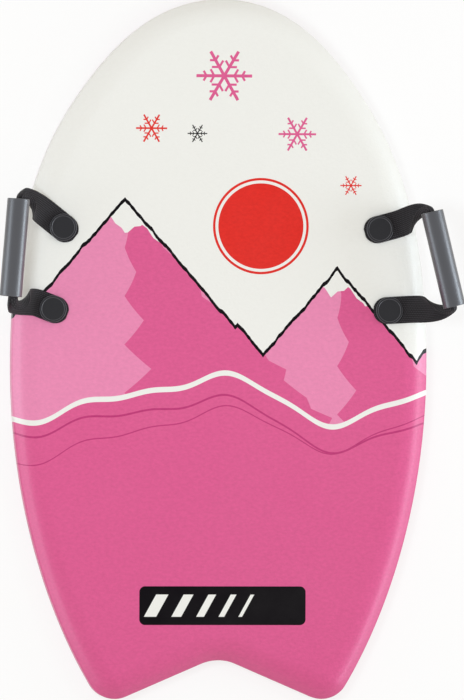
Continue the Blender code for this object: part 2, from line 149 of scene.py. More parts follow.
class BoardSizes(bpy.types.PropertyGroup):
    """Outline, rail and rocker of the board."""

    length: size("Length", "From the nose to the tail tips", SKIN_HIGH.y - SKIN_LOW.y)
    width: size("Width", "Across the widest place", SKIN_HIGH.x - SKIN_LOW.x)
    widest_from_nose: size("Widest from Nose", "Distance of the widest place", 0.444)
    shoulder_from_nose: size("Shoulder from Nose", "Distance of the shoulder", 0.1227)
    shoulder_from_widest: size("Shoulder Inset", "Shoulder in from the widest side", 0.0766)
    shoulder_angle: turn("Shoulder Angle", "Fall of the outline at the shoulder", 56.5)
    tip_from_widest: size("Tail Tip Inset", "Tip centre in from the widest side", 0.1275)
    tip_radius: size("Tail Tip Radius", "Rounding of each tail tip", 0.034)
    flare_angle: turn("Tail Flare", "Turn of the outline where a tip starts", 30.6)
    notch_depth: size("Notch Depth", "Depth of the fishtail's notch", 0.047)
    notch_radius: size("Notch Radius", "Rounding of the notch", 0.053)
    thickness: size("Thickness", "Base to deck", 0.040)
    chamfer_width: size("Chamfer Width", "Width of the slope round the deck", 0.018)
    chamfer_height: size("Chamfer Height", "Fall of the slope round the deck", 0.016)
    crease_radius: size("Crease Radius", "Rounding between deck and slope", 0.034)
    corner_radius: size("Corner Radius", "Rounding between slope and wall", 0.006)
    skin_thickness: size("Skin Thickness", "Film and foam of the skin", 0.002)
    skin_bottom: size("Skin Bottom", "Lower edge of the skin", SKIN_LOW.z)
    shade_margin: size("Shade Margin", "Narrow band that keeps the deck's shading flat", 0.002)
    rocker_length: size("Rocker Length", "Length of the lifted nose", 0.200)
    nose_rise: size("Nose Rise", "Lift of the nose", 0.018)


class FastenerSizes(bpy.types.PropertyGroup):
    """Caps over the webbing and nuts in the base."""

    cap_diameter: size("Cap Diameter", "Across a cap", 0.033)
    cap_edge_radius: size("Cap Edge", "Rounding of the cap's upper edge", 0.0012)
    cap_rim_width: size("Cap Rim", "Width of the raised rim", 0.0014)
    cap_dish_depth: size("Cap Dish", "Depth of the dished face", 0.0005)
    post_diameter: size("Post Diameter", "Across the cap's post", 0.008)
    nut_diameter: size("Nut Diameter", "Across the nut's flange", 0.030)
    nut_recess: size("Nut Recess", "Nut face in from the base", 0.0006)
    nut_thickness: size("Nut Thickness", "Thickness of the nut's flange", 0.0018)
    nut_edge: size("Nut Edge", "Rounding of the flange's edge", 0.0004)
    nut_slot_depth: size("Nut Slot Depth", "Depth of the spanner slots", 0.0009)
    nut_slot_inner: size("Nut Slot Start", "Radius where the slots start", 0.0045)
    nut_slot_outer: size("Nut Slot End", "Radius where the slots end", 0.0110)
    barrel_diameter: size("Barrel Diameter", "Across the nut's barrel", 0.014)


class HandleSizes(bpy.types.PropertyGroup):
    """Webbing straps and tube grips."""

    webbing_width: size("Webbing Width", "Across the strap", 0.033)
    webbing_thickness: size("Webbing Thickness", "Thickness of the strap", 0.0017)
    webbing_overrun: size("Webbing Overrun", "Strap past the post", 0.0188)
    flat_run: size("Flat Run", "Strap that lies on the deck", 0.0175)
    mouth_run: size("Mouth Run", "Straight run before the tube", 0.0006)
    end_start_share: number("End Start", "Width of the cut end, as a share", 0.30)
    touch_gap: size("Touch Gap", "Gap kept between touching faces", 0.0003)
    grip_length: size("Grip Length", "Length of a tube grip", 0.118)
    grip_diameter: size("Grip Diameter", "Across a tube grip", 0.0272)
    grip_wall: size("Grip Wall", "Wall of a tube grip", 0.0041)
    grip_edge: size("Grip Edge", "Rounding of the tube's ends", 0.0007)
    roll_radius: size("Roll Radius", "Radius of the strap curled up in its tube", 0.0052)
    mouth_offset: size("Mouth Offset", "Strap off the tube's axis at its mouths", 0.0030)
    bend_start: size("Bend Start", "Where a strap starts to swing, from the posts", 0.026)
    bend_end: size("Bend End", "Where a strap swings fully, from the posts", 0.049)


class PrintColours(bpy.types.PropertyGroup):
    """Colours of the printed skin and of the other finishes."""

    white: tint("White", "Bare film", 239, 240, 238)
    pink: tint("Pink", "Near hills", 220, 96, 149)
    light_pink: tint("Light Pink", "Far peaks", 233, 141, 183)
    deep_pink: tint("Deep Pink", "Shaded sides of the peaks", 189, 62, 121)
    red: tint("Red", "Sun and small flakes", 224, 50, 44)
    black: tint("Black", "Outlines and bar", 17, 14, 18)
    foam: tint("Foam", "Foam core", 238, 238, 234)
    base: tint("Base", "Slick base", 204, 74, 132)
    cap: tint("Cap", "Caps and nuts", 31, 31, 35)
    # Painted shade for the hollows between the webbing's threads
    webbing: tint("Webbing", "Threads of the straps", 60, 58, 62)
    webbing_hollow_shade: tint("Webbing Gap", "Between the threads", 12, 11, 13)
    grip: tint("Grip", "Tube grips", 36, 38, 46)
    floor: tint("Floor", "Studio floor", 250, 250, 250)


class StudioSizes(bpy.types.PropertyGroup):
    """Camera, lamps and floor."""

    lens: number("Lens", "Focal length in millimetres", 423.6)
    view_height: size("View Height", "Height of the picture at the deck", 0.8498)
    aim_x: size("Aim X", "Place on the deck that the camera aims at", 0.0133, -1)
    aim_y: size("Aim Y", "Place on the deck that the camera aims at", -0.0006, -1)
    lean_left: turn("Lean Left", "Camera out over the board's left side", 6.3)
    lean_tail: turn("Lean Tail", "Camera back over the board's tail", 0.2)
    roll: turn("Roll", "Camera turned about its own view", 0.23)
    floor_size: size("Floor Size", "Side of the floor", 12.0)
    floor_drop: size("Floor Drop", "Floor below the base", 0.0002)
    floor_white: number("Floor White", "Share of plain white in the floor as it is seen", 0.80)
    left_key: number("Left Key", "High left softbox, in watts", 14.5)
    right_key: number("Right Key", "High right softbox, in watts", 3.5)
    left_fill: number("Left Fill", "Low left softbox, in watts", 3.5)
    right_fill: number("Right Fill", "Low right softbox, in watts", 13.0)
    left_rim: number("Left Rim", "Gloss on the left side, in watts", 23.0)
    right_rim: number("Right Rim", "Gloss on the right side, in watts", 48.0)
    sky: number("Sky", "Strength of the room's light on the object", 0.59)


# Shader nodes from plain expressions


def joined(operation, swapped=False):
    """A method that joins a wire and another value with one Math node."""

    def method(self, other):
        first, second = (other, self) if swapped else (self, other)
        return self.maths(operation, first, second)

    return method


def passed(operation):
    """A method that puts a wire alone through one Math node."""

    def method(self):
        return self.maths(operation, self)

    return method


class Wire:
    """A node's output that takes Python's arithmetic and adds Math nodes for it."""

    def __init__(self, finish, socket):
        self.finish = finish
        self.socket = socket

    def maths(self, operation, *values, clamp=False):
        """Add one Math node, with its values in order."""
        settings = {"operation": operation, "use_clamp": clamp}
        return self.finish.node("ShaderNodeMath", settings, dict(enumerate(values)))

    def clamped(self):
        """Kept between 0 and 1."""
        return self.maths("ADD", self, 0, clamp=True)

    __add__, __radd__ = joined("ADD"), joined("ADD", swapped=True)
    __sub__, __rsub__ = joined("SUBTRACT"), joined("SUBTRACT", swapped=True)
    __mul__, __rmul__ = joined("MULTIPLY"), joined("MULTIPLY", swapped=True)
    __truediv__, __rtruediv__ = joined("DIVIDE"), joined("DIVIDE", swapped=True)
    __abs__ = passed("ABSOLUTE")
    root = passed("SQRT")
    sine = passed("SINE")
    cosine = passed("COSINE")
    whole = passed("FLOOR")
    fraction = passed("FRACT")
    at_least = joined("MAXIMUM")
    # Up and down between 0 and the other value
    zigzag = joined("PINGPONG")
    # Angle of a point that stands this far up and the other value across
    angle_over = joined("ARCTAN2")


class Finish:
    """A material as it is built."""

    def __init__(self, name):
        self.material = bpy.data.materials.new(name)
        self.material.use_nodes = True
        self.tree = self.material.node_tree
        self.shader = self.tree.nodes["Principled BSDF"]

    def feed(self, socket, value):
        """Link a wire to a socket, or set the socket's own value."""
        if isinstance(value, Wire):
            self.tree.links.new(value.socket, socket)
        else:
            socket.default_value = value

    def node(self, kind, settings=None, sockets=None, output=0):
        """Add a node: its settings first, then its sockets' values or links."""
        node = self.tree.nodes.new(kind)
        for name, value in (settings or {}).items():
            setattr(node, name, value)
        for name, value in (sockets or {}).items():
            self.feed(node.inputs[name], value)
        return Wire(self, node.outputs[output])

    def place(self):
        """Object coordinates, which are the frame's own metres."""
        return self.node("ShaderNodeTexCoord", output="Object")

    def stretched(self, where, scale):
        """Coordinates that draw a pattern out along each axis whose scale is under 1."""
        return self.node("ShaderNodeMapping", None, {"Vector": where, "Scale": scale})

    def parts(self, vector):
        """The three numbers of a vector or colour."""
        node = self.tree.nodes.new("ShaderNodeSeparateXYZ")
        self.tree.links.new(vector.socket, node.inputs[0])
        return [Wire(self, output) for output in node.outputs]

    def facing_up(self):
        """How far the surface faces up, from -1 to 1."""
        return self.parts(self.node("ShaderNodeNewGeometry", output="Normal"))[2]

    def noise(self, where, scale, detail=2.0, roughness=0.5):
        """Smooth noise from 0 to 1 about 0.5."""
        sockets = {"Vector": where, "Scale": scale, "Detail": detail, "Roughness": roughness}
        return self.node("ShaderNodeTexNoise", {"noise_dimensions": "3D"}, sockets)

    def cells(self, where, feature, scale, **sockets):
        """Distance from the middles of scattered cells."""
        sockets = {"Vector": where, "Scale": scale, **sockets}
        return self.node("ShaderNodeTexVoronoi", {"feature": feature}, sockets)

    def mix(self, share, first, second):
        """Colour first where share is 0 and second where it is 1."""
        settings = {"data_type": "RGBA", "clamp_factor": True}
        return self.node("ShaderNodeMix", settings, {0: share, 6: first, 7: second}, output=2)

    def scaled(self, colour, share):
        """A colour times a number."""
        sockets = {0: colour, "Scale": share}
        return self.node("ShaderNodeVectorMath", {"operation": "SCALE"}, sockets)

    def relief(self, *layers):
        """A normal from bumps, each a height of 0 to 1, its depth in metres and its strength."""
        normal = None
        for height, depth, strength in layers:
            sockets = {"Height": height, "Distance": depth, "Strength": strength}
            if normal is not None:
                sockets["Normal"] = normal
            normal = self.node("ShaderNodeBump", None, sockets)
        return normal

    def shade(self, **sockets):
        """Set the Principled shader's sockets, named with underscores for spaces."""
        for name, value in sockets.items():
            self.feed(self.shader.inputs[name.replace("_", " ")], value)
        return self.material


def opaque(colour):
    """A colour with its alpha."""
    return (colour[0], colour[1], colour[2], 1.0)


def below(value, limit, soft=PRINT_EDGE):
    """1 where value is under limit, 0 over it, with a soft edge."""
    return ((limit - value) / soft + 0.5).clamped()


def between(value, low, high, soft=PRINT_EDGE):
    """1 between two limits, with soft edges."""
    return below(value, high, soft) * (1 - below(value, low, soft))


def largest(wires):
    """The largest of several wires at each place."""
    first, *others = wires
    for wire in others:
        first = first.at_least(wire)
    return first


# The generic winter print on the skin

# Flakes: place across, place along, radius and colour
FLAKES = (
    (0.002, 0.332, 0.034, "pink"),
    (-0.086, 0.268, 0.019, "red"),
    (0.092, 0.262, 0.023, "pink"),
    (-0.030, 0.262, 0.012, "black"),
    (0.158, 0.200, 0.013, "red"),
)
# Half widths of a flake's arms and branches, and where each branch starts and how long it is, all
# as shares of the flake's radius
FLAKE_ARM = 0.055
FLAKE_BRANCH = 0.040
FLAKE_BRANCHES = ((0.36, 0.27), (0.64, 0.2025))
FLAKE_ANGLE = math.radians(60)

# Sun: place across, place along and radius, then the gap to its ring and the ring's width
SUN = (0.048, 0.150, 0.052)
SUN_RING = (0.0035, 0.0030)

# Far peaks: place across the board and height along it; only the first three have a shaded side
FAR_PEAKS = ((-0.118, 0.182), (0.142, 0.098), (0.020, 0.030), (-0.235, 0.060), (0.262, 0.010))
SHADED_PEAKS = 3
FAR_SLOPE = 1.15
OUTLINE_WIDTH = 0.0036
RIDGE_NOISE = {"Scale": 55.0, "Detail": 2.5, "Roughness": 0.6}
RIDGE_ROUGHNESS = 0.010
# Shaded side: kinks for each metre down, then their reach and the side's width as shares
SHADE_KINKS = 34.0
SHADE_REACH = 0.16
SHADE_WIDTH = 0.92
# Snow line: height and slope, then pitch and depth of its teeth, and the small teeth as shares
SNOW_LINE = (0.104, -0.300)
SNOW_TEETH = (0.021, 0.017)
SMALL_TEETH = (0.37, 0.5)

# Near hills: their middle height, then the height, spacing and start of each wave
NEAR_MIDDLE = -0.062
NEAR_WAVES = ((0.024, 17.0, 2.05), (0.010, 33.0, 0.60), (0.003, 71.0, 1.30))
NEAR_EDGE = 0.0065
# Lines across the near hills: how far under their tops, lean across the board and width
NEAR_LINES = ((0.022, -0.04, 0.0024), (0.036, 0.05, 0.0014))

# Bar: place across, place along, half width, half height and corner
BAR = (0.003, -0.311, 0.1015, 0.0235, 0.007)
# Stripes on the bar: place across and width
STRIPES = (
    (-0.078, 0.0150), (-0.046, 0.0120), (-0.017, 0.0095), (0.009, 0.0070), (0.032, 0.0045),
)
STRIPE_HALF_HEIGHT = 0.0135
STRIPE_SLANT = 0.55

# Handling marks: their noise, where they start in it, how strong they get and the ink they leave
MARKS = (9.0, 4.0, 0.6)
MARKS_START = 0.42
MARKS_SHARE = 0.30
MARKS_INK = 0.93


class WinterPrint:
    """The print as a colour, painted from the back to the front."""

    def __init__(self, finish, colours, where):
        self.finish = finish
        self.across, self.along, _ = finish.parts(where)
        names = ("white", "pink", "light_pink", "deep_pink", "red", "black")
        self.inks = {name: opaque(getattr(colours, name)) for name in names}
        self.paint = self.inks["white"]

    def cover(self, mask, ink):
        """Print an ink where a mask is 1."""
        self.paint = self.finish.mix(mask, self.paint, self.inks[ink])

    def offsets(self, centre_across, centre_along):
        """Each place as seen from a centre."""
        return self.across - centre_across, self.along - centre_along

    def flake(self, centre_across, centre_along, radius, ink):
        """A six-armed snow crystal, folded from one half arm."""
        u, v = self.offsets(centre_across, centre_along)
        folded = (v.angle_over(u) + math.pi).zigzag(math.pi / 6)
        distance = (u * u + v * v).root()
        out = distance * folded.cosine()
        up = distance * folded.sine()
        lines = [below(up, FLAKE_ARM * radius) * below(out, radius)]
        for start, length in FLAKE_BRANCHES:
            past = out - start * radius
            off = abs(past * math.sin(FLAKE_ANGLE) - up * math.cos(FLAKE_ANGLE))
            run = past * math.cos(FLAKE_ANGLE) + up * math.sin(FLAKE_ANGLE)
            lines.append(below(off, FLAKE_BRANCH * radius) * between(run, 0, length * radius))
        self.cover(largest(lines), ink)

    def sun(self):
        """A low sun with a thin ring round it."""
        centre_across, centre_along, radius = SUN
        u, v = self.offsets(centre_across, centre_along)
        distance = (u * u + v * v).root()
        gap, ring = SUN_RING
        self.cover(below(distance, radius), "red")
        self.cover(between(distance, radius + gap, radius + gap + ring), "red")

    def far_peaks(self):
        """Far peaks with a rough skyline, shaded sides, snow caps and an outline."""
        mix = self.finish.mix
        rough = self.finish.node(
            "ShaderNodeTexNoise", {"noise_dimensions": "1D"}, {"W": self.across, **RIDGE_NOISE}
        )
        sides = [height - abs(self.across - place) * FAR_SLOPE for place, height in FAR_PEAKS]
        skyline = largest(sides) + (rough - 0.5) * RIDGE_ROUGHNESS
        rock = self.inks["light_pink"]
        for place, height in FAR_PEAKS[:SHADED_PEAKS]:
            down = height - self.along
            kinks = (down * SHADE_KINKS).zigzag(1.0) * down * SHADE_REACH
            side = between(self.across - place - kinks, 0, down / FAR_SLOPE * SHADE_WIDTH)
            rock = mix(side * below(0, down), rock, self.inks["pink"])
        start, slope = SNOW_LINE
        pitch, depth = SNOW_TEETH
        small_pitch, small_depth = SMALL_TEETH
        teeth = (self.across + 1).zigzag(pitch) * (depth / pitch)
        small = (self.across + 1).zigzag(pitch * small_pitch) * (small_depth * depth / pitch)
        snow = start + self.across * slope + teeth + small
        rock = mix(1 - below(self.along, snow), rock, self.inks["white"])
        self.paint = mix(below(self.along, skyline), self.paint, rock)
        stroke = OUTLINE_WIDTH * math.hypot(1, FAR_SLOPE) / 2
        self.cover(below(abs(self.along - skyline), stroke), "black")

    def near_hills(self):
        """Near rounded hills with a white edge along their tops and two thin lines under it."""
        top = NEAR_MIDDLE
        for rise, spacing, start in NEAR_WAVES:
            top = top + (self.across * spacing + start).sine() * rise
        self.cover(below(self.along, top + NEAR_EDGE), "white")
        self.cover(below(self.along, top), "pink")
        for drop, lean, width in NEAR_LINES:
            line = top - drop + self.across * lean
            self.cover(between(self.along, line - width, line), "deep_pink")

    def bar(self):
        """A dark rounded bar near the tail with slanted stripes that thin out."""
        centre_across, centre_along, half_width, half_height, corner_radius = BAR
        u, height = self.offsets(centre_across, centre_along)
        u = (abs(u) - (half_width - corner_radius)).at_least(0)
        v = (abs(height) - (half_height - corner_radius)).at_least(0)
        self.cover(below((u * u + v * v).root() - corner_radius, 0), "black")
        leaning = self.across - height * STRIPE_SLANT
        stripes = largest([
            between(leaning, place - width / 2, place + width / 2) for place, width in STRIPES
        ])
        self.cover(stripes * below(abs(height), STRIPE_HALF_HEIGHT), "white")

    def marks(self, where):
        """Faint handling marks and unevenness of the ink."""
        cloud = self.finish.noise(where, *MARKS)
        faded = self.finish.mix(MARKS_INK, (1, 1, 1, 1), self.paint)
        share = (cloud - MARKS_START).clamped() * MARKS_SHARE
        self.paint = self.finish.mix(share, self.paint, faded)


def print_colour(finish, colours, where):
    """The whole print's colour at each place."""
    picture = WinterPrint(finish, colours, where)
    for flake in FLAKES:
        picture.flake(*flake)
    picture.sun()
    picture.far_peaks()
    picture.near_hills()
    picture.bar()
    picture.marks(where)
    return picture.paint


# Finishes

# The film's rail is where it faces up less than this, with this soft a start
RAIL_FACING = (0.86, 0.20)
RAIL_COAT = 0.42
# How strongly painted shade and light change the colour between the folds' tops and bottoms
FOLD_SHADING = 0.30
# Cap edges get a painted highlight where the plastic faces up between these two, with this soft a
# start
CAP_HIGHLIGHT_FACING = (0.25, 0.93, 0.10)
RIB_PITCH = 0.0023
WEFT_PITCH = 0.0022
# How high the webbing still stands between two ribs and between two wefts, and the fuzz's share
RIB_HOLLOW = 0.2
WEFT_HOLLOW = 0.25
FUZZ_SHARE = 0.15


def printed_film(colours):
    """Skin film: the print under a finely crinkled satin surface."""
    finish = Finish("printed_film")
    where = finish.place()
    paint = print_colour(finish, colours, where)

    # Slow waves of foam under film, folds, shallow leathery cells and a fine crinkle
    waves = finish.noise(where, scale=26.0)
    drawn = finish.stretched(where, (0.60, 1.0, 1.0))
    folds = finish.noise(drawn, scale=320.0, detail=3.0, roughness=0.60)
    cells = finish.cells(where, "SMOOTH_F1", scale=420.0, Smoothness=0.6)
    crinkle = finish.noise(where, scale=900.0, detail=3.0, roughness=0.6)
    normal = finish.relief(
        (waves, 0.0009, 0.5), (folds, 0.00032, 0.6), (cells, 0.00022, 0.55), (crinkle, 0.0001, 0.5)
    )
    rough = 0.40 + crinkle * 0.10 + (waves - 0.5) * 0.06

    # Painted shade and light on the folds, and the film is drawn shiny where it is pulled over the
    # rail
    paleness = finish.parts(paint)[1]
    paint = finish.scaled(paint, 1 + (folds - 0.5) * (1 - paleness) * FOLD_SHADING)
    rail = below(finish.facing_up(), *RAIL_FACING)
    return finish.shade(
        Base_Color=paint, Roughness=rough, Normal=normal, Specular_IOR_Level=0.04,
        Coat_Weight=rail * RAIL_COAT, Coat_Roughness=0.30,
    )


def foam_finish(colours):
    """Closed-cell foam, darker between its cells."""
    finish = Finish("foam")
    cells = finish.cells(finish.place(), "F1", scale=900.0)
    dark = (0.70, 0.70, 0.67, 1)
    colour = finish.mix((cells * 0.5).clamped(), opaque(colours.foam), dark)
    return finish.shade(Base_Color=colour, Roughness=0.9, Normal=finish.relief((cells, 0.0003, 1)))


def slick_finish(colours):
    """Slick polyethylene sheet with long running scratches and a slight haze."""
    finish = Finish("slick_sheet")
    where = finish.place()
    stretch = finish.stretched(where, (1.0, 0.02, 1.0))
    lines = finish.noise(stretch, scale=900.0, detail=3.0, roughness=0.7)
    haze = finish.noise(where, scale=14.0, detail=3.0, roughness=0.6)
    scratch = (lines - 0.60).clamped() * 3.0
    pale = (0.86, 0.45, 0.64, 1)
    deep = (0.66, 0.12, 0.32, 1)
    colour = finish.mix(scratch * 0.35, opaque(colours.base), pale)
    colour = finish.mix((haze - 0.5).clamped() * 0.5, colour, deep)
    rough = (0.20 + haze * 0.14 + scratch * 0.2).clamped()
    normal = finish.relief((lines, 0.00006, 0.6))
    return finish.shade(Base_Color=colour, Roughness=rough, Normal=normal)


def cap_finish(colours):
    """Finely textured black plastic, with a painted highlight along its edges."""
    finish = Finish("cap_plastic")
    where = finish.place()
    grain = finish.noise(where, scale=1500.0, detail=2.0, roughness=0.6)
    cloud = finish.noise(where, scale=120.0, detail=3.0, roughness=0.5)
    dark = (0.020, 0.020, 0.024, 1)
    pale = (0.085, 0.085, 0.095, 1)
    colour = finish.mix(cloud * 0.5, opaque(colours.cap), dark)
    # Painted highlight: the edges are paler, picked by how far they face up
    edge_highlight = between(finish.facing_up(), *CAP_HIGHLIGHT_FACING) * (0.55 + grain * 0.6)
    colour = finish.mix(edge_highlight, colour, pale)
    rough = 0.30 + grain * 0.12 + cloud * 0.08
    normal = finish.relief((grain, 0.00008, 0.5))
    return finish.shade(Base_Color=colour, Roughness=rough, Normal=normal, Specular_IOR_Level=0.25)


def webbing_finish(colours):
    """Woven webbing: ribs along the strap crossed by the weft, on the strap's own measure."""
    finish = Finish("webbing")
    where = finish.node("ShaderNodeAttribute", {"attribute_name": "weave"}, output="Vector")
    across, along, _ = finish.parts(where)
    rib_count = (across + 1) / RIB_PITCH
    every_other = (rib_count.whole() * 0.5).fraction() * 2
    weft_count = (along + 1) / WEFT_PITCH + every_other * 0.5
    rib = abs((rib_count * math.pi).sine())
    weft = abs((weft_count * math.pi).sine())
    thread = rib * (1 - RIB_HOLLOW) + RIB_HOLLOW
    thread = thread * (WEFT_HOLLOW + (1 - WEFT_HOLLOW) * weft)
    fuzz = finish.noise(where, scale=2600.0, detail=2.0, roughness=0.7)
    worn = finish.noise(where, scale=60.0, detail=3.0, roughness=0.5)
    # Painted shade: the hollows between ribs and wefts take the darker colour
    share = (thread * 1.30 - 0.15 + (fuzz - 0.5) * 0.5).clamped()
    pale = (0.052, 0.050, 0.058, 1)
    colour = finish.mix(share, opaque(colours.webbing_hollow_shade), opaque(colours.webbing))
    colour = finish.mix((worn - 0.45).clamped() * 0.5, colour, pale)
    height = thread * (1 - FUZZ_SHARE) + fuzz * FUZZ_SHARE
    normal = finish.relief((height, 0.00045, 0.85))
    return finish.shade(
        Base_Color=colour, Roughness=0.78 + fuzz * 0.15, Normal=normal,
        Specular_IOR_Level=0.2, Sheen_Weight=0.10, Sheen_Roughness=0.5,
    )


def grip_finish(colours):
    """Satin extruded plastic, with faint lines along the tube and dull patches."""
    finish = Finish("grip_plastic")
    where = finish.place()
    stretch = finish.stretched(where, (1.0, 0.015, 1.0))
    lines = finish.noise(stretch, scale=1400.0, detail=2.0, roughness=0.6)
    speck = finish.noise(where, scale=1900.0, detail=2.0, roughness=0.7)
    cloud = finish.noise(where, scale=30.0, detail=3.0, roughness=0.5)
    dull = (0.027, 0.029, 0.038, 1)
    colour = finish.mix((cloud * 0.6 + speck * 0.3).clamped(), opaque(colours.grip), dull)
    rough = 0.31 + cloud * 0.08 + speck * 0.06
    normal = finish.relief((lines, 0.00004, 0.5))
    return finish.shade(
        Base_Color=colour, Roughness=rough, Normal=normal, Specular_IOR_Level=1.0,
        Sheen_Weight=0.35, Sheen_Roughness=0.45,
    )


# Shapes


def add_piece(name, bm, finish, body, replaces=(), sharp=SHARP):
    """Turn a finished bmesh into a piece that rides on a body."""
    mesh = bpy.data.meshes.new(name)
    bm.to_mesh(mesh)
    bm.free()
    mesh.materials.append(finish)
    mesh.shade_smooth()
    mesh.set_sharp_from_angle(angle=math.radians(sharp))
    piece = bpy.data.objects.new(name, mesh)
    bpy.context.scene.collection.objects.link(piece)
    if body:
        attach(piece, body)
    if replaces:
        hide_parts(*replaces)
    return piece


def thicken(piece, name, thickness, offset):
    """Give a sheet its wall."""
    wall = piece.modifiers.new(name, "SOLIDIFY")
    wall.thickness = thickness
    wall.offset = offset
    return wall


def verts_in(geom):
    """The vertices among the results of a bmesh operator."""
    return [item for item in geom if isinstance(item, bmesh.types.BMVert)]


def edges_in(geom):
    """The edges among the results of a bmesh operator."""
    return [item for item in geom if isinstance(item, bmesh.types.BMEdge)]


def level(items, height):
    """The edges or faces that lie at one height."""
    return [
        item for item in items
        if all(abs(vert.co.z - height) < SAME_PLACE for vert in item.verts)
    ]


def bezier(start, start_handle, end_handle, end, steps):
    """Points along a cubic curve, without its last point."""
    points = []
    for i in range(steps):
        t = i / steps
        u = 1 - t
        point = start * u**3 + start_handle * (3 * u * u * t) + end_handle * (3 * u * t * t)
        points.append(point + end * t**3)
    return points


def arc(centre, radius, first, last, steps):
    """Points on an arc from angle first to angle last, both included."""
    points = []
    for i in range(steps + 1):
        angle = first + (last - first) * i / steps
        points.append(centre + radius * Vector((math.cos(angle), math.sin(angle))))
    return points


def direction(angle):
    """Unit vector in plan at an angle from +X, in radians."""
    return Vector((math.cos(angle), math.sin(angle)))


def half_outline(board):
    """The right half of the outline, from the nose round to the notch."""
    half_length = board.length / 2
    half_width = board.width / 2
    nose = Vector((0, half_length))
    shoulder = Vector(
        (half_width - board.shoulder_from_widest, half_length - board.shoulder_from_nose)
    )
    widest = Vector((half_width, half_length - board.widest_from_nose))
    sideways = Vector((1, 0))
    tailward = Vector((0, -1))
    falling = direction(-board.shoulder_angle)

    chord = (shoulder - nose).length
    first, second = NOSE_CURVE_SHARES
    leave, reach = nose + sideways * first * chord, shoulder - falling * second * chord
    points = bezier(nose, leave, reach, shoulder, NOSE_STEPS)
    chord = (widest - shoulder).length
    first, second = SHOULDER_CURVE_SHARES
    leave, reach = shoulder + falling * first * chord, widest - tailward * second * chord
    points += bezier(shoulder, leave, reach, widest, SHOULDER_STEPS)
    tip_centre = Vector((half_width - board.tip_from_widest, board.tip_radius - half_length))
    tip_start = tip_centre + board.tip_radius * direction(-board.flare_angle)
    into_tip = direction(-board.flare_angle - math.pi / 2)
    run = widest.y - tip_start.y
    first, second = TAIL_SIDE_SHARES
    leave, reach = widest + tailward * first * run, tip_start - into_tip * second * run
    points += bezier(widest, leave, reach, tip_start, SIDE_STEPS)
    notch_centre = Vector((0, board.notch_depth - half_length - board.notch_radius))
    across = notch_centre - tip_centre
    opening = math.acos((board.tip_radius + board.notch_radius) / across.length)
    touch = math.atan2(across.y, across.x) + opening
    points += arc(tip_centre, board.tip_radius, -board.flare_angle, touch, TIP_STEPS)
    points += arc(notch_centre, board.notch_radius, touch + math.pi, math.pi / 2, NOTCH_STEPS)
    return points


def board_outline(board):
    """The closed outline, clockwise from the nose as seen from above."""
    right = half_outline(board)
    return right + [Vector((-p.x, p.y)) for p in reversed(right[1:-1])]


def deck_shell(board):
    """The skin's outer face: wall, rounded slope and deck, lifted into the rocker at the nose."""
    bm = bmesh.new()
    ring = [bm.verts.new((p.x, p.y, board.skin_bottom)) for p in board_outline(board)]
    edges = [bm.edges.new(pair) for pair in zip(ring, ring[1:] + ring[:1])]
    sheet = bmesh.ops.contextual_create(bm, geom=edges)["faces"]
    wall_top = board.thickness - board.chamfer_height
    grown = bmesh.ops.extrude_face_region(bm, geom=sheet)["geom"]
    wall = (0, 0, wall_top - board.skin_bottom)
    bmesh.ops.translate(bm, verts=verts_in(grown), vec=wall)
    low = level(bm.faces, board.skin_bottom)
    bmesh.ops.delete(bm, geom=low, context="FACES_ONLY")
    bmesh.ops.recalc_face_normals(bm, faces=bm.faces)
    top = level(bm.faces, wall_top)
    if top[0].normal.z < 0:
        bmesh.ops.reverse_faces(bm, faces=bm.faces)
    bmesh.ops.inset_region(
        bm, faces=top, thickness=board.chamfer_width, use_even_offset=True, use_boundary=True
    )
    bmesh.ops.translate(bm, verts=top[0].verts, vec=(0, 0, board.chamfer_height))

    slope = math.atan2(board.chamfer_height, board.chamfer_width)
    for height, bend, radius in (
        (board.thickness, slope, board.crease_radius),
        (wall_top, math.pi / 2 - slope, board.corner_radius),
    ):
        bmesh.ops.bevel(
            bm, geom=level(bm.edges, height), offset=radius * math.tan(bend / 2),
            offset_type="OFFSET", segments=RAIL_SEGMENTS, profile=0.5, affect="EDGES", material=-1,
        )
    deck = max(bm.faces, key=lambda face: face.calc_area())
    bmesh.ops.inset_region(bm, faces=[deck], thickness=board.shade_margin, use_even_offset=True)

    start = board.length / 2 - board.rocker_length
    for i in range(ROCKER_STRIPS):
        place = (0, start + board.rocker_length * i / ROCKER_STRIPS, 0)
        geom = bm.verts[:] + bm.edges[:] + bm.faces[:]
        bmesh.ops.bisect_plane(
            bm, geom=geom, dist=SAME_PLACE, plane_co=place, plane_no=(0, 1, 0)
        )
    for vert in bm.verts:
        past = max(vert.co.y - start, 0) / board.rocker_length
        vert.co.z += board.nose_rise * past**2
    return bm


def turned(profile, steps):
    """A solid of revolution about Z, from (radius, height) points."""
    bm = bmesh.new()
    verts = [bm.verts.new((radius, 0, height)) for radius, height in profile]
    edges = [bm.edges.new(pair) for pair in zip(verts, verts[1:])]
    if profile[0][0] > 0:
        edges.append(bm.edges.new((verts[-1], verts[0])))
    bmesh.ops.spin(
        bm, geom=verts + edges, cent=(0, 0, 0), axis=(0, 0, 1), angle=2 * math.pi, steps=steps,
        use_merge=True,
    )
    bmesh.ops.remove_doubles(bm, verts=bm.verts, dist=SAME_PLACE / 4)
    bmesh.ops.recalc_face_normals(bm, faces=bm.faces)
    return bm


def corner(radius_at, height_at, radius, first, last):
    """Points (radius, height) round a corner of a turned profile."""
    return [tuple(p) for p in arc(Vector((radius_at, height_at)), radius, first, last, ARC_STEPS)]


def moved(bm, matrix):
    """Place a shape in the frame, in its own mesh."""
    bmesh.ops.transform(bm, matrix=matrix, verts=bm.verts)
    return bm


def node_middle(node):
    """Middle of a CAD node's box, with its low and high corners."""
    low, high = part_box(node)
    return (low + high) / 2, low, high


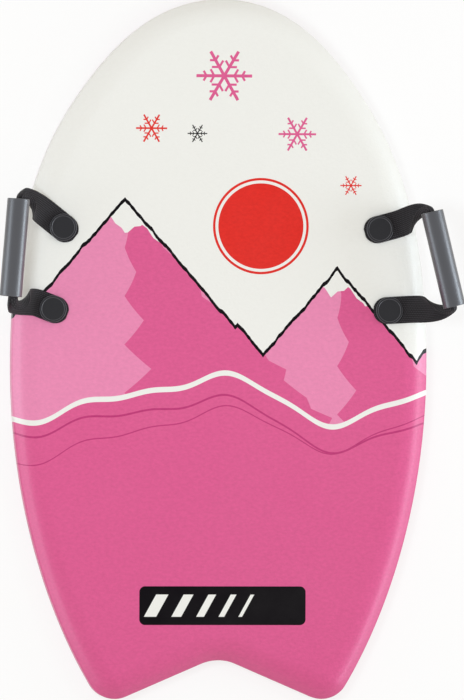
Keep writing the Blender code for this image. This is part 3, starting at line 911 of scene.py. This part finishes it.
def tube_line(name):
    """Middle and direction of a handle's tube, from its joint."""
    roll = JOINTS[f"{name}_grip_roll"]
    return Vector(roll["pos_m"]), Vector(roll["axis"]).normalized()


# Straps


def smooth_step(share):
    """0 to 1 with a gentle start and end."""
    return share * share * (3 - 2 * share)


def leg_stations(handle, leg, anchor, mouth, out, hand, middle_height):
    """One leg of a strap, from its cut end to the tube's mouth.

    Each station is (point, face normal, share of curl, share of width).
    """
    foot = Vector((anchor.x, anchor.y, middle_height))
    aim, lift_run, turn_run, full_twist, twist_power, curl_power = leg
    straight = Vector((mouth.x - anchor.x, mouth.y - anchor.y, 0)).normalized()
    way = Matrix.Rotation(-math.radians(aim) * hand, 3, "Z") @ straight
    up = Vector((0, 0, 1))
    end = foot - way * handle.webbing_overrun
    first = math.asin(handle.end_start_share)
    radius = handle.webbing_width / 2
    stations = []
    for i in range(STRAP_END_STEPS + 1):
        angle = first + (math.pi / 2 - first) * i / STRAP_END_STEPS
        run = radius * (math.cos(first) - math.cos(angle))
        stations.append((end + way * run, up, 0, math.sin(angle)))
    rounded = (stations[-1][0] - foot).dot(way)
    for i in range(1, STRAP_FLAT_STEPS):
        run = rounded + (handle.flat_run - rounded) * i / STRAP_FLAT_STEPS
        stations.append((foot + way * run, up, 0, 1))

    lift = foot + way * handle.flat_run
    into = mouth + out * handle.mouth_run
    route = bezier(lift, lift + way * lift_run, into + out * turn_run, into, STRAP_LEG_STEPS)
    route += [into, mouth]
    normal = up
    tangent = way
    twist_done = 0
    for i, point in enumerate(route):
        onward = route[min(i + 1, len(route) - 1)] - route[max(i - 1, 0)]
        if i == 0:
            onward = way
        onward = onward.normalized()
        normal = tangent.rotation_difference(onward).to_matrix() @ normal
        tangent = onward
        share = smooth_step(min(i / STRAP_LEG_STEPS, 1))
        twist = math.radians(full_twist) * hand * share**twist_power
        normal = Matrix.Rotation(twist - twist_done, 3, tangent) @ normal
        twist_done = twist
        stations.append((point, normal.copy(), share**curl_power, 1))
    return stations


def strap_stations(handle, name, side, front, rear, centre, axis, middle_height):
    """All stations of a strap: the front leg, the run in the tube and the rear leg."""
    legs = []
    for place, end, anchor in (("front", 1, front), ("rear", -1, rear)):
        out = axis * end
        mouth = centre + out * handle.grip_length / 2
        inward = Vector((anchor.x - mouth.x, anchor.y - mouth.y, 0))
        mouth += (inward - out * inward.dot(out)).normalized() * handle.mouth_offset
        leg = STRAP_LEGS[f"{name}_{place}"]
        legs.append(leg_stations(handle, leg, anchor, mouth, out, -side * end, middle_height))
    start, start_normal = legs[0][-1][0], legs[0][-1][1]
    stop, stop_normal = legs[1][-1][0], legs[1][-1][1]
    along = (stop - start).normalized()
    angle = math.atan2(start_normal.cross(stop_normal).dot(along), start_normal.dot(stop_normal))
    inside = []
    for i in range(1, STRAP_TUBE_STEPS):
        share = i / STRAP_TUBE_STEPS
        normal = Matrix.Rotation(angle * share, 3, along) @ start_normal
        inside.append((start.lerp(stop, share), normal, 1, 1))
    return legs[0] + inside + list(reversed(legs[1]))


def strap_place(handle, station, tangent, share):
    """A point of the strap's middle surface, at a share of its width from -1 to 1."""
    point, normal, curl, width_share = station
    curl_radius = handle.roll_radius
    normal = (normal - tangent * normal.dot(tangent)).normalized()
    across = tangent.cross(normal)
    place = share * handle.webbing_width * width_share / 2
    middle = point - normal * (curl_radius * curl)
    angle = curl * place / curl_radius
    if abs(angle) < SAME_PLACE:
        return middle + across * place
    radius = place / angle
    return middle + across * radius * math.sin(angle) + normal * radius * (1 - math.cos(angle))


def strap_sheet(handle, stations):
    """The strap's middle surface: its cut end drawn out station by station."""
    bm = bmesh.new()
    weave = bm.verts.layers.float_vector.new("weave")
    half = handle.webbing_width / 2
    shares = [2 * i / STRAP_ACROSS_STEPS - 1 for i in range(STRAP_ACROSS_STEPS + 1)]
    row = [bm.verts.new((share, 0, 0)) for share in shares]
    for vert, share in zip(row, shares):
        vert[weave] = Vector((share, 0, 0))
    edges = [bm.edges.new(pair) for pair in zip(row, row[1:])]
    run = 0
    rows = []
    for i, station in enumerate(stations):
        if i:
            drawn = bmesh.ops.extrude_edge_only(bm, edges=edges)["geom"]
            edges = edges_in(drawn)
            row = sorted(verts_in(drawn), key=lambda vert: vert[weave].x)
            run += (station[0] - stations[i - 1][0]).length
        before = stations[max(i - 1, 0)][0]
        after = stations[min(i + 1, len(stations) - 1)][0]
        tangent = (after - before).normalized()
        for vert, share in zip(row, shares):
            vert.co = strap_place(handle, station, tangent, share)
        rows.append((row, run, station[3]))
    for row, run, width_share in rows:
        for vert, share in zip(row, shares):
            vert[weave] = Vector((share * half * width_share, run, 0))
    return bm


# Operators


class SlidingBoardDeckSkin(bpy.types.Operator):
    """Model the printed skin over the deck and rail"""

    bl_idname = "sliding_board.deck_skin"
    bl_label = "Deck Skin"

    def execute(self, context):
        board = context.scene.sliding_board
        film = printed_film(context.scene.sliding_board_colours)
        bm = deck_shell(board)
        skin = add_piece(
            "printed_skin", bm, film, "board", ["deck_skin"], FILM_SHARP
        )
        wall = thicken(skin, "Skin thickness", board.skin_thickness, -1)
        wall.use_even_offset = True
        return {"FINISHED"}


class SlidingBoardCore(bpy.types.Operator):
    """Finish the foam core and the slick base"""

    bl_idname = "sliding_board.core"
    bl_label = "Core and Base"

    def execute(self, context):
        colours = context.scene.sliding_board_colours
        for node, finish in (("foam_core", foam_finish), ("slick_base", slick_finish)):
            mesh = frame["nodes"][node].data
            mesh.materials.clear()
            mesh.materials.append(finish(colours))
        return {"FINISHED"}


class SlidingBoardCaps(bpy.types.Operator):
    """Model the four caps that clamp the webbing"""

    bl_idname = "sliding_board.caps"
    bl_label = "Caps"

    def execute(self, context):
        parts = context.scene.sliding_board_fasteners
        handle = context.scene.sliding_board_handles
        plastic = cap_finish(context.scene.sliding_board_colours)
        bottom = context.scene.sliding_board.thickness
        bottom += 2 * handle.touch_gap + handle.webbing_thickness
        rim = parts.cap_diameter / 2
        post = parts.post_diameter / 2
        edge = parts.cap_edge_radius
        depth = parts.cap_dish_depth
        dish = rim - edge - parts.cap_rim_width
        for node in [f"{place}_cap" for place in CORNERS]:
            middle, low, high = node_middle(node)
            profile = [(0, low.z), (post, low.z), (post, bottom), (rim - edge / 2, bottom)]
            profile += corner(rim - edge / 2, bottom + edge / 2, edge / 2, -math.pi / 2, 0)
            profile += corner(rim - edge, high.z - edge, edge, 0, math.pi / 2)
            profile += [(dish + depth / 2, high.z), (dish, high.z - depth / 3)]
            profile += [(dish - depth, high.z - depth), (0, high.z - depth)]
            bm = moved(turned(profile, ROUND_STEPS), Matrix.Translation((middle.x, middle.y, 0)))
            add_piece(f"{node}_disc", bm, plastic, "board", [node], FASTENER_SHARP)
        return {"FINISHED"}


class SlidingBoardNuts(bpy.types.Operator):
    """Model the four slotted nuts let into the base"""

    bl_idname = "sliding_board.nuts"
    bl_label = "Base Nuts"

    def execute(self, context):
        parts = context.scene.sliding_board_fasteners
        plastic = cap_finish(context.scene.sliding_board_colours)
        low = parts.nut_recess
        top = low + parts.nut_thickness
        rim = parts.nut_diameter / 2
        edge = parts.nut_edge
        barrel = parts.barrel_diameter / 2
        slot_angle = math.pi / ROUND_STEPS * NUT_SLOT_STEPS
        for node in [f"{place}_base_nut" for place in CORNERS]:
            middle, _, high = node_middle(node)
            profile = [(0, low), (parts.nut_slot_inner, low), (parts.nut_slot_outer, low)]
            profile += corner(rim - edge, low + edge, edge, -math.pi / 2, 0)
            profile += [(rim, top), (barrel, top), (barrel, high.z), (0, high.z)]
            bm = turned(profile, ROUND_STEPS)
            slots = []
            for face in bm.faces:
                spot = face.calc_center_median()
                reach = math.hypot(spot.x, spot.y)
                on_face = abs(spot.z - low) < SAME_PLACE
                between_ends = parts.nut_slot_inner < reach < parts.nut_slot_outer
                quarter = math.atan2(spot.y, spot.x) % (math.pi / 2)
                aligned = min(quarter, math.pi / 2 - quarter) < slot_angle
                if on_face and between_ends and aligned:
                    slots.append(face)
            cut = bmesh.ops.extrude_face_region(bm, geom=slots)["geom"]
            bmesh.ops.delete(bm, geom=slots, context="FACES_ONLY")
            bmesh.ops.translate(bm, verts=verts_in(cut), vec=(0, 0, parts.nut_slot_depth))
            bmesh.ops.recalc_face_normals(bm, faces=bm.faces)
            moved(bm, Matrix.Translation((middle.x, middle.y, 0)))
            add_piece(
                f"{node}_slotted", bm, plastic, "board", [node], FASTENER_SHARP
            )
        return {"FINISHED"}


class SlidingBoardStraps(bpy.types.Operator):
    """Model the two webbing straps through their grips"""

    bl_idname = "sliding_board.straps"
    bl_label = "Webbing Straps"

    def execute(self, context):
        handle = context.scene.sliding_board_handles
        deck = context.scene.sliding_board.thickness
        finish = webbing_finish(context.scene.sliding_board_colours)
        height = deck + handle.touch_gap + handle.webbing_thickness / 2
        for name, side in (("left", -1), ("right", 1)):
            front = node_middle(f"{name}_front_cap")[0]
            rear = node_middle(f"{name}_rear_cap")[0]
            centre, axis = tube_line(name)
            stations = strap_stations(handle, name, side, front, rear, centre, axis, height)
            bm = strap_sheet(handle, stations)
            strap = add_piece(
                f"{name}_strap", bm, finish, None, [f"{name}_webbing"], WEBBING_SHARP
            )
            thicken(strap, "Webbing thickness", handle.webbing_thickness, 0)
            edge = strap.modifiers.new("Soft edge", "BEVEL")
            edge.width = handle.webbing_thickness / 4
            edge.segments = 2
            edge.limit_method = "ANGLE"
            edge.angle_limit = math.radians(WEBBING_SOFTENED)
            middle = (front + rear) / 2
            middle.z = height
            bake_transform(strap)
        return {"FINISHED"}


class SlidingBoardGrips(bpy.types.Operator):
    """Model the two tube grips"""

    bl_idname = "sliding_board.grips"
    bl_label = "Tube Grips"

    def execute(self, context):
        handle = context.scene.sliding_board_handles
        plastic = grip_finish(context.scene.sliding_board_colours)
        half = handle.grip_length / 2
        outer = handle.grip_diameter / 2
        bore = outer - handle.grip_wall
        edge = handle.grip_edge
        for name in ("left", "right"):
            centre, axis = tube_line(name)
            profile = []
            for radius, height, quarter in (
                (bore + edge, edge - half, 2),
                (outer - edge, edge - half, 3),
                (outer - edge, half - edge, 0),
                (bore + edge, half - edge, 1),
            ):
                first, last = quarter * math.pi / 2, (quarter + 1) * math.pi / 2
                profile += corner(radius, height, edge, first, last)
            facing = Vector((0, 0, 1)).rotation_difference(axis).to_matrix().to_4x4()
            bm = moved(turned(profile, ROUND_STEPS), Matrix.Translation(centre) @ facing)
            add_piece(
                f"{name}_grip", bm, plastic, f"{name}_grip", [f"{name}_grip_tube"]
            )
        return {"FINISHED"}


# Studio

# Softboxes: name, which is also their power's among the studio's sizes, width, height, place, and
# whether they show in gloss alone. The others give light alone.
SOFTBOXES = (
    ("left_key", 0.45, 0.45, (-0.70, 0.10, 1.95), False),
    ("right_key", 0.45, 0.45, (1.30, 0.10, 1.60), False),
    ("left_fill", 1.0, 1.0, (-1.85, 0.10, 0.52), False),
    ("right_fill", 1.0, 1.0, (1.85, 0.10, 0.52), False),
    ("left_rim", 2.2, 0.9, (-1.95, -0.30, 0.55), True),
    ("right_rim", 2.2, 0.9, (1.95, -0.30, 0.55), True),
)
KEY_LIGHT = (0.84, 0.93, 1.0)
RIM_LIGHT = (0.80, 0.90, 1.0)
ROOM_LIGHT = (1.0, 0.905, 0.785, 1)
FLOOR_ROUGHNESS = 0.9
SENSOR_HEIGHT = 36.0
FARTHEST_SEEN = 100.0


def softbox(name, power, width, height, place, aim):
    """A rectangular lamp that faces a point."""
    lamp = bpy.data.lights.new(name, "AREA")
    lamp.shape = "RECTANGLE"
    lamp.size = width
    lamp.size_y = height
    lamp.energy = power
    holder = bpy.data.objects.new(name, lamp)
    bpy.context.scene.collection.objects.link(holder)
    facing = Vector(aim) - Vector(place)
    holder.rotation_euler = facing.to_track_quat("-Z", "Y").to_euler()
    holder.location = place
    return holder


def seen_directly(tree):
    """1 for rays from the camera, in reflections and through glass, as a node's output."""
    path = tree.nodes.new("ShaderNodeLightPath")
    share = path.outputs["Is Camera Ray"]
    for name in ("Is Glossy Ray", "Is Transmission Ray"):
        larger = tree.nodes.new("ShaderNodeMath")
        larger.operation = "MAXIMUM"
        tree.links.new(share, larger.inputs[0])
        tree.links.new(path.outputs[name], larger.inputs[1])
        share = larger.outputs[0]
    return share


def seen_white(tree, kind, lit, output, share):
    """Mix a share of plain white over a surface or world where it is seen directly."""
    white = tree.nodes.new(kind)
    white.inputs["Color"].default_value = (1, 1, 1, 1)
    white.inputs["Strength"].default_value = 1.0
    part = tree.nodes.new("ShaderNodeMath")
    part.operation = "MULTIPLY"
    part.inputs[1].default_value = share
    mixed = tree.nodes.new("ShaderNodeMixShader")
    tree.links.new(seen_directly(tree), part.inputs[0])
    tree.links.new(part.outputs[0], mixed.inputs[0])
    tree.links.new(lit.outputs[0], mixed.inputs[1])
    tree.links.new(white.outputs[0], mixed.inputs[2])
    tree.links.new(mixed.outputs[0], output.inputs["Surface"])


class SlidingBoardStage(bpy.types.Operator):
    """Set the floor, the room's light, the softboxes and the camera"""

    bl_idname = "sliding_board.stage"
    bl_label = "Studio"

    def execute(self, context):
        studio = context.scene.sliding_board_studio
        self.floor(studio, context.scene.sliding_board_colours)
        self.room(studio)
        middle = (0, 0, context.scene.sliding_board.thickness)
        for name, width, height, place, gloss_alone in SOFTBOXES:
            lamp = softbox(name, getattr(studio, name), width, height, place, middle)
            lamp.data.color = RIM_LIGHT if gloss_alone else KEY_LIGHT
            lamp.visible_glossy = gloss_alone
            lamp.visible_diffuse = not gloss_alone
        self.camera(studio, middle[2])
        context.scene.view_settings.view_transform = "Standard"
        return {"FINISHED"}

    def floor(self, studio, colours):
        """A plain pale floor that keeps the board's shadow."""
        bm = bmesh.new()
        bmesh.ops.create_grid(bm, x_segments=1, y_segments=1, size=studio.floor_size / 2)
        bmesh.ops.translate(bm, verts=bm.verts, vec=(0, 0, -studio.floor_drop))
        mesh = bpy.data.meshes.new("studio_floor")
        bm.to_mesh(mesh)
        bm.free()
        finish = Finish("studio_floor")
        finish.shade(
            Base_Color=opaque(colours.floor), Roughness=FLOOR_ROUGHNESS, Specular_IOR_Level=0.0
        )
        output = finish.tree.nodes["Material Output"]
        seen_white(finish.tree, "ShaderNodeEmission", finish.shader, output, studio.floor_white)
        mesh.materials.append(finish.material)
        floor = bpy.data.objects.new("studio_floor", mesh)
        bpy.context.scene.collection.objects.link(floor)

    def room(self, studio):
        """Warm, even light from all round, seen as white."""
        world = bpy.data.worlds.new("studio_room")
        bpy.context.scene.world = world
        world.use_nodes = True
        nodes = world.node_tree.nodes
        lit = nodes["Background"]
        lit.inputs["Color"].default_value = ROOM_LIGHT
        lit.inputs["Strength"].default_value = studio.sky
        seen_white(world.node_tree, "ShaderNodeBackground", lit, nodes["World Output"], 1.0)

    def camera(self, studio, deck_height):
        """A long lens almost straight above the board."""
        lens = bpy.data.cameras.new("studio_camera")
        lens.sensor_fit = "VERTICAL"
        lens.sensor_height = SENSOR_HEIGHT
        lens.lens = studio.lens
        lens.clip_end = FARTHEST_SEEN
        distance = studio.lens * studio.view_height / SENSOR_HEIGHT
        back = Vector((-math.tan(studio.lean_left), -math.tan(studio.lean_tail), 1)).normalized()
        upright = Vector((-math.sin(studio.roll), math.cos(studio.roll), 0))
        right = upright.cross(back).normalized()
        upright = back.cross(right)
        aim = Vector((studio.aim_x, studio.aim_y, deck_height))
        facing = Matrix((right, upright, back)).transposed().to_4x4()
        camera = bpy.data.objects.new("studio_camera", lens)
        bpy.context.scene.collection.objects.link(camera)
        camera.matrix_world = Matrix.Translation(aim + back * distance) @ facing
        bpy.context.scene.camera = camera


class SlidingBoardPanel(bpy.types.Panel):
    """The board's pieces and studio, in the 3D view's sidebar"""

    bl_idname = "VIEW3D_PT_sliding_board"
    bl_label = "Sliding Board"
    bl_space_type = "VIEW_3D"
    bl_region_type = "UI"
    bl_category = "Sliding Board"

    def draw(self, context):
        for operator in PIECE_OPERATORS:
            self.layout.operator(operator.bl_idname)


SIZE_GROUPS = (
    ("sliding_board", BoardSizes),
    ("sliding_board_fasteners", FastenerSizes),
    ("sliding_board_handles", HandleSizes),
    ("sliding_board_colours", PrintColours),
    ("sliding_board_studio", StudioSizes),
)

PIECE_OPERATORS = (
    SlidingBoardStage,
    SlidingBoardDeckSkin,
    SlidingBoardCore,
    SlidingBoardCaps,
    SlidingBoardNuts,
    SlidingBoardStraps,
    SlidingBoardGrips,
)


def register():
    """Register the classes and hang the sizes on the scene."""
    for name, group in SIZE_GROUPS:
        bpy.utils.register_class(group)
        setattr(bpy.types.Scene, name, bpy.props.PointerProperty(type=group))
    for operator in PIECE_OPERATORS:
        bpy.utils.register_class(operator)
    bpy.utils.register_class(SlidingBoardPanel)


def unregister():
    """Take back what register added."""
    bpy.utils.unregister_class(SlidingBoardPanel)
    for operator in reversed(PIECE_OPERATORS):
        bpy.utils.unregister_class(operator)
    for name, group in reversed(SIZE_GROUPS):
        delattr(bpy.types.Scene, name)
        bpy.utils.unregister_class(group)


def main():
    """Make every piece and the studio."""
    register()
    bpy.ops.sliding_board.stage()
    bpy.ops.sliding_board.deck_skin()
    bpy.ops.sliding_board.core()
    bpy.ops.sliding_board.caps()
    bpy.ops.sliding_board.nuts()
    bpy.ops.sliding_board.straps()
    bpy.ops.sliding_board.grips()


if __name__ == "__main__":
    main()
